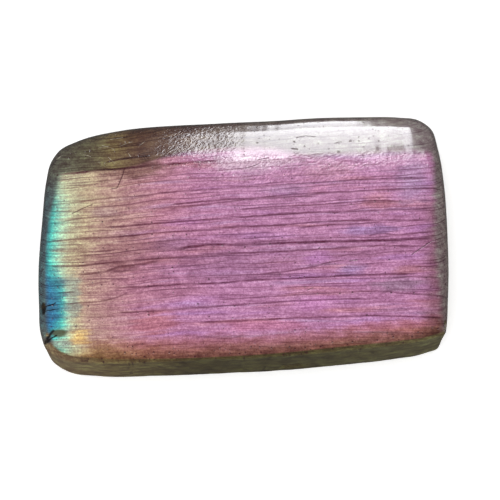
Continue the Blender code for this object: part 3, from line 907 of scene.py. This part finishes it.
    # Painted shade: the broken hollows are filled with a near-black colour.
    paintedHollowShade = 0.0
    for start, end, halfWidth in stone["hollows"]:
        bent = calc("MULTIPLY_ADD", wobble, 2.0, y)
        paintedHollowShade = most(paintedHollowShade, nodes.segment(x, bent, start, end, halfWidth))
    paintedHollowShade = times(paintedHollowShade, fade(turn, 2.4, 2.0))
    colour = blend(times(paintedHollowShade, stone["paintedHollowShadeShare"]), colour, paint(*stone["paintedHollowShade"]))
    nodes.feed(shader.inputs["Base Color"], colour)

    # Gloss and fine relief. The polish is scuffed where the window's reflection breaks up.
    scuffed = times(near(x, *stone["scuffedX"]), fade(y, *stone["scuffedY"]))
    ledge = times(near(y, *stone["ledgeY"]), fade(x, *stone["ledgeX"]), fade(mottle, 0.34, 0.54))
    scuffed = most(scuffed, ledge)
    dull = most(fade(facingY, -0.30, -0.75), fade(turn, 1.0, 2.0))
    nodes.feed(shader.inputs["Roughness"], fade(dull, 0.0, 1.0, stone["polish"], stone["matt"]))
    shader.inputs["IOR"].default_value = stone["refraction"]
    shader.inputs["Specular IOR Level"].default_value = stone["underShine"]
    shader.inputs["Coat Roughness"].default_value = stone["shine"]
    damage = most(scratches, paintedHollowShade, times(specks, 0.8))
    clear = fade(dull, 1.0, 0.0, stone["wallCoat"], 1.0)
    clear = times(clear, fade(damage, 0.0, 1.0, 1.0, stone["damageCoat"]))
    nodes.feed(shader.inputs["Coat Weight"], clear)
    bumps = times(centred(crinkleAndGlints), scuffed, stone["scuff"])
    grainDepth = fade(dull, 0.0, 1.0, stone["faceGrain"], stone["wallGrain"])
    bumps = calc("MULTIPLY_ADD", centred(grain), grainDepth, bumps)
    bumps = calc("MULTIPLY_ADD", most(specks, scratches), -stone["speckDepth"], bumps)
    bump = nodes.add("ShaderNodeBump")
    bump.inputs["Strength"].default_value = 1.0
    bump.inputs["Distance"].default_value = mm
    nodes.feed(bump.inputs["Height"], bumps)
    nodes.feed(shader.inputs["Normal"], bump.outputs[0])
    nodes.feed(shader.inputs["Coat Normal"], bump.outputs[0])
    return material, curves


stoneFinish, lineCurves = stoneMaterial()
print("stage: stone finish,", len(stoneFinish.node_tree.nodes), "nodes")

# Relief in the mesh itself: grooves along the strong lines, broken places and polishing waves.
relief = {
    "breaks": (  # middle, radius and depth of each broken place, in millimetres
        ((-31.8, -12.3, 13.5), (0.5, 0.7, 0.8), 0.35),
        ((-30.7, -16.9, 13.9), (0.5, 0.6, 0.7), 0.30),
        ((7.8, -19.6, 3.4), (2.0, 1.2, 1.2), 0.50),
        ((32.2, -15.2, 13.8), (0.7, 0.9, 0.8), 0.35),
    ),
    "breakEdge": 0.35,  # how ragged their edges are
    "groove": 0.010,  # depth of the darkest line
    "grooveReach": 0.26,  # least half-width of a groove
    "grooveEnd": 1.5,  # how far a groove runs out past the ends of its line
    "grooveTurn": 0.6,  # turn of the section where the grooves have run out
    "tableSteps": 265,  # places along the face where the lines are worked out
    "worn": 0.050,  # how steeply the far edge of the face is worn down
    "wornFrom": (12.2, 1.0),  # the y where the wear starts, and how soon it is full
    "wornTo": (13.6, 0.4),  # the y where it stops, and how soon it is gone
    "wornHeight": (7.0, 12.0),  # the z where the wear is none, and where it is full
    "wornLeft": (-12.0, -6.0),  # the x where the wear is none, and where it is full
    "wornUneven": 0.22,
    "wornNearer": (  # x, and how much nearer the wear starts there
        (-12.0, 0.0),
        (-5.0, 0.9),
        (3.0, 0.9),
        (9.0, -0.1),
        (15.0, -0.4),
        (22.5, 1.1),
        (25.5, 1.1),
        (29.0, 0.4),
    ),
    "ripple": 0.004,  # height of the waves in the polish
    "rippleSize": 1.6,
    "sideRough": 0.05,  # height of the unevenness of the near side
    "flatTurn": 3.0,  # turn of the section where the base starts, which stays flat
}


def grooveDepth(x, y):  # how deep the strong lines cut at each point of the face
    depth = np.zeros_like(x)
    table = np.linspace(*faceX, relief["tableSteps"])
    past = relief["grooveEnd"]
    for (route, width, darkness), mapping in zip(layerLines, lineCurves):
        shares = [mapping.evaluate(mapping.curves[0], (place - faceX[0]) / faceWidth) for place in table]
        heights = np.array(shares) * faceHeight + faceY[0]
        gap = np.abs(y - np.interp(x, table, heights))
        first, last = route[0][0] - past, route[-1][0] + past
        ends = np.clip((x - first) / (2 * past), 0, 1) * np.clip((last - x) / (2 * past), 0, 1)
        reach = max(width * 1.3, relief["grooveReach"])
        section = np.clip(1 - (gap / reach) ** 2, 0, None)
        depth = np.maximum(depth, relief["groove"] * darkness * ends * section)
    return depth


def wornDepth(x, y):  # how much the far edge of the face is worn down, unevenly
    def slope(distance, width):  # the height of a slope that steepens evenly over a width
        rounded = np.clip(distance, 0, None) ** 2 / (2 * width)
        return np.where(distance < width, rounded, distance - width / 2)

    uneven = np.array([noise.fractal(Vector((place * 0.45, 4.0, 0.0)), 1.0, 2.0, 2) for place in x])
    nearer = np.interp(x, *zip(*relief["wornNearer"])) + relief["wornUneven"] * uneven
    (start, startWidth), (end, endWidth) = relief["wornFrom"], relief["wornTo"]
    depth = relief["worn"] * (slope(y + nearer - start, startWidth) - slope(y - end, endWidth))
    return depth * np.interp(x, relief["wornLeft"], (0, 1))


def carve():
    normals = np.empty(len(mesh.vertices) * 3, dtype=np.float32)
    mesh.vertex_normals.foreach_get("vector", normals)
    normals = normals.reshape(-1, 3).astype(float)
    x, y, z = (points / mm).T
    height = -grooveDepth(x, y) * np.clip(1 - turns / relief["grooveTurn"], 0, 1)
    height -= wornDepth(x, y) * np.interp(z, relief["wornHeight"], (0, 1))
    for middle, radius, deep in relief["breaks"]:
        gap = np.sqrt(sum(((value - m) / r) ** 2 for value, m, r in zip((x, y, z), middle, radius)))
        for i in np.nonzero(gap < 1.5)[0]:
            rim = gap[i] + relief["breakEdge"] * noise.noise(Vector((x[i], y[i], z[i])) * 1.9)
            height[i] -= deep * min(max(1.25 - rim, 0.0) * 1.6, 1.0)
    dull = np.clip((-normals[:, 1] - 0.35) / 0.4, 0, 1)  # how far a point faces the near side
    for i in np.nonzero(turns < 3.5)[0]:
        spot = Vector((x[i], y[i], z[i])) / relief["rippleSize"]
        height[i] += relief["ripple"] * noise.noise(spot)
        if dull[i] > 0:
            streak = Vector((x[i] * 0.35, y[i], z[i] * 1.4))
            height[i] += relief["sideRough"] * dull[i] * noise.fractal(streak, 1.0, 2.0, 4)
    fadeOut = np.clip((relief["flatTurn"] - turns) / 0.4, 0, 1)  # nothing moves where the slab rests
    moved = points + normals * (height * fadeOut * mm)[:, None]
    moved[:, 2] = np.clip(moved[:, 2], 0.0, None)
    mesh.vertices.foreach_set("co", moved.ravel().astype(np.float32))
    mesh.update()


carve()
mesh.materials.append(stoneFinish)
stonePiece = bpy.data.objects.new("polished_stone", mesh)
bpy.context.scene.collection.objects.link(stonePiece)
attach(stonePiece, "root")
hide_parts("labradorite_stone")
print("stage: stone carved and dressed")

# The studio: a pale floor, soft light from above and one tall window on the far side.
studio = {
    "floorSize": 3.0,
    "floorColour": (1.0, 1.0, 1.0, 1.0),
    "floorGlow": 0.30,  # keeps the floor white close to the stone
    "floorRoughness": 0.9,
    "worldStrength": 0.50,
    "worldColour": (1.0, 1.0, 1.0, 1.0),
    "worldMirrored": (0.16, 0.16, 0.15, 1.0),  # the world as the polish mirrors it
    "overhead": {"size": 0.9, "height": 0.9, "x": -0.10, "y": -0.10, "power": 6.4},
    "windowFoot": 0.215,  # how far behind the slab the leaning window stands
    "windowLean": 20.0,  # degrees towards the slab
    "windowColour": (0.95, 0.96, 1.0),
    "panes": (  # x from and to, height from and to, brightness
        (-0.0110, -0.0070, 0.010, 0.310, 6.8),
        (-0.0070, 0.0474, 0.010, 0.310, 9.8),
        (-0.0035, 0.0320, -0.120, 0.010, 5.4),
    ),
    "elevation": 77.5,  # degrees above the horizon
    "distance": 0.35,
    "pixelsPerMetre": 6150.0,  # at the slab, in a frame 500 pixels wide
    "frameWidth": 500,
    "middlePixel": (244.0, 242.4),  # where the slab's middle lies in that frame
    "sensorWidth": 36.0,
    "clip": (0.01, 20.0),
}


def addFloor():
    bpy.ops.mesh.primitive_plane_add(size=studio["floorSize"], location=(0, 0, 0))
    floor = bpy.context.object
    floor.name = "floor"
    material = bpy.data.materials.new("pale_floor")
    material.use_nodes = True
    shader = material.node_tree.nodes["Principled BSDF"]
    shader.inputs["Base Color"].default_value = studio["floorColour"]
    shader.inputs["Roughness"].default_value = studio["floorRoughness"]
    shader.inputs["Specular IOR Level"].default_value = 0.0
    shader.inputs["Emission Color"].default_value = studio["floorColour"]
    shader.inputs["Emission Strength"].default_value = studio["floorGlow"]
    floor.data.materials.append(material)
    floor.visible_glossy = False


def addWorld():
    world = bpy.data.worlds.new("studio")
    world.use_nodes = True
    tree = world.node_tree
    back = tree.nodes["Background"]
    rays = tree.nodes.new("ShaderNodeLightPath")
    shade = tree.nodes.new("ShaderNodeMix")
    shade.data_type = "RGBA"
    tree.links.new(rays.outputs["Is Glossy Ray"], shade.inputs[0])
    shade.inputs[6].default_value = studio["worldColour"]
    shade.inputs[7].default_value = studio["worldMirrored"]
    tree.links.new(shade.outputs[2], back.inputs["Color"])
    back.inputs["Strength"].default_value = studio["worldStrength"]
    bpy.context.scene.world = world


def addLight(name, width, height, place, target, power):
    light = bpy.data.lights.new(name, "AREA")
    light.shape = "RECTANGLE"
    light.size, light.size_y = width, height
    light.energy = power
    lamp = bpy.data.objects.new(name, light)
    lamp.location = place
    lamp.rotation_euler = (Vector(target) - Vector(place)).to_track_quat("-Z", "Y").to_euler()
    lamp.visible_camera = False
    bpy.context.scene.collection.objects.link(lamp)
    return lamp


def addOverhead():
    over = studio["overhead"]
    place = (over["x"], over["y"], over["height"])
    lamp = addLight("overhead", over["size"], over["size"], place, (0, 0, 0), over["power"])
    lamp.visible_glossy = False


def addWindow():  # its panes lie in one plane that leans towards the slab
    lean = math.radians(studio["windowLean"])
    inward = Vector((0.0, -math.cos(lean), -math.sin(lean)))
    for left, right, bottom, top, brightness in studio["panes"]:
        across, up = (left + right) / 2, (bottom + top) / 2
        place = Vector((across, studio["windowFoot"] - up * math.sin(lean), up * math.cos(lean)))
        width, height = right - left, top - bottom
        power = brightness * math.pi * width * height
        lamp = addLight("window", width, height, place, place + inward, power)
        lamp.data.color = studio["windowColour"]
        lamp.visible_diffuse = False


def addCamera():
    tilt = math.radians(studio["elevation"])
    back = Vector((0.0, -math.cos(tilt), math.sin(tilt)))
    up = Vector((0.0, math.sin(tilt), math.cos(tilt)))
    middle = Vector((0.0, 0.0, (low[2] + high[2]) / 2))
    half = studio["frameWidth"] / 2
    right = (half - studio["middlePixel"][0]) / studio["pixelsPerMetre"]
    down = (half - studio["middlePixel"][1]) / studio["pixelsPerMetre"]
    target = middle + Vector((right, 0.0, 0.0)) - up * down
    data = bpy.data.cameras.new("camera")
    data.sensor_width = studio["sensorWidth"]
    shown = studio["frameWidth"] / studio["pixelsPerMetre"]  # metres across the frame at the slab
    data.lens = data.sensor_width * studio["distance"] / shown
    data.clip_start, data.clip_end = studio["clip"]
    camera = bpy.data.objects.new("camera", data)
    camera.location = target + back * studio["distance"]
    camera.rotation_euler = (target - camera.location).to_track_quat("-Z", "Y").to_euler()
    bpy.context.scene.collection.objects.link(camera)
    bpy.context.scene.camera = camera


addFloor()
addWorld()
addOverhead()
addWindow()
addCamera()
bpy.context.scene.view_settings.view_transform = "Standard"
print("stage: studio and camera")
